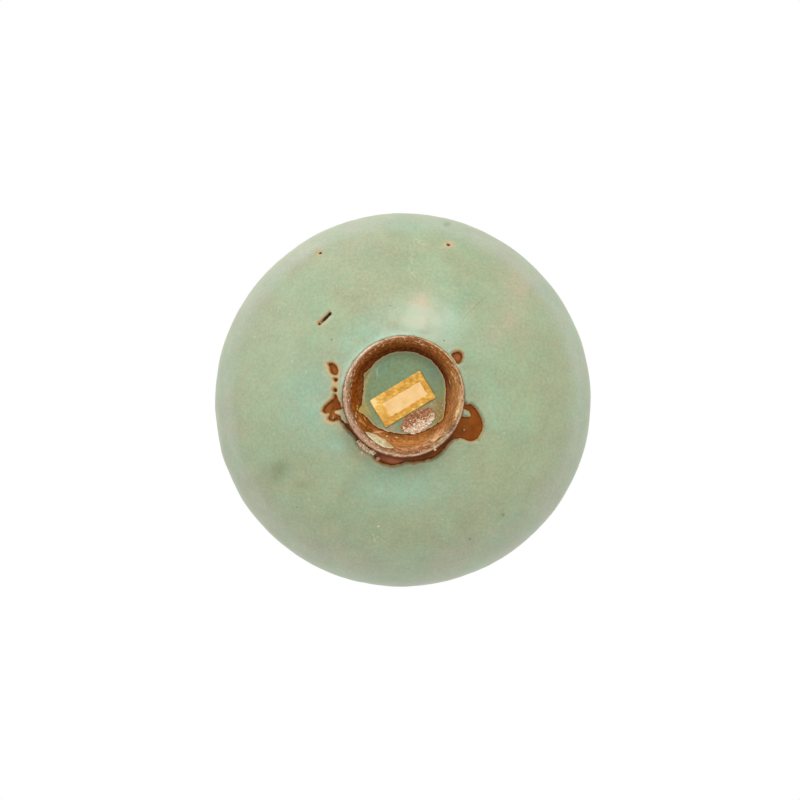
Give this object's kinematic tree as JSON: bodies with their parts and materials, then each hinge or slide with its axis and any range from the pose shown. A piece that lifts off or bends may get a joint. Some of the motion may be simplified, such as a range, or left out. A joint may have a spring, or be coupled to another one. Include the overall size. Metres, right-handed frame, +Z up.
{
  "type": "footed ceramic bowl",
  "caption": "Small round stoneware bowl with a thick sea-green glaze, slightly incurved lip and a low unglazed foot ring, for food or tea.",
  "frame": {"origin": "centre of the foot ring's rest face, on the surface that the bowl stands on", "axes": "+Z up along the axis of the wheel, out of the mouth; +X and +Y lie in the rest face, with the crawled bare patch to +X and +Y"},
  "size_m": [0.12, 0.12, 0.058],
  "materials": {
    "stoneware": "fired stoneware, buff to brown, granular and matt",
    "iron_wash": "brown iron dressing, satin",
    "outer_glaze": "opalescent sea-green glaze, soft gloss",
    "lip_glaze": "the same glaze run thin to olive brown",
    "inner_glaze": "opalescent blue-green glaze, glossy",
    "well_glaze": "thin grey-green glaze, soft gloss",
    "pale_glaze": "pale yellow-green glaze, soft gloss",
    "kiln_grit": "fused kiln grit, rough",
    "gum": "dried gum, satin",
    "label_paper": "aged cream paper, matt",
    "gilt": "worn gilt, satin"
  },
  "bodies": {
    "root": {"thrown_body": "stoneware", "foot_wash_outer": "iron_wash", "foot_wash_inner": "iron_wash", "outer_glaze": "outer_glaze", "lip_glaze": "lip_glaze", "inner_glaze": "inner_glaze", "foot_well_glaze": "well_glaze", "foot_glaze_splash": "pale_glaze", "kiln_grit_scar": "kiln_grit", "kiln_grit_crumbs": "kiln_grit", "label_gum": "gum", "label_paper": "label_paper", "label_gilt_border": "gilt"}
  },
  "joints": []
}
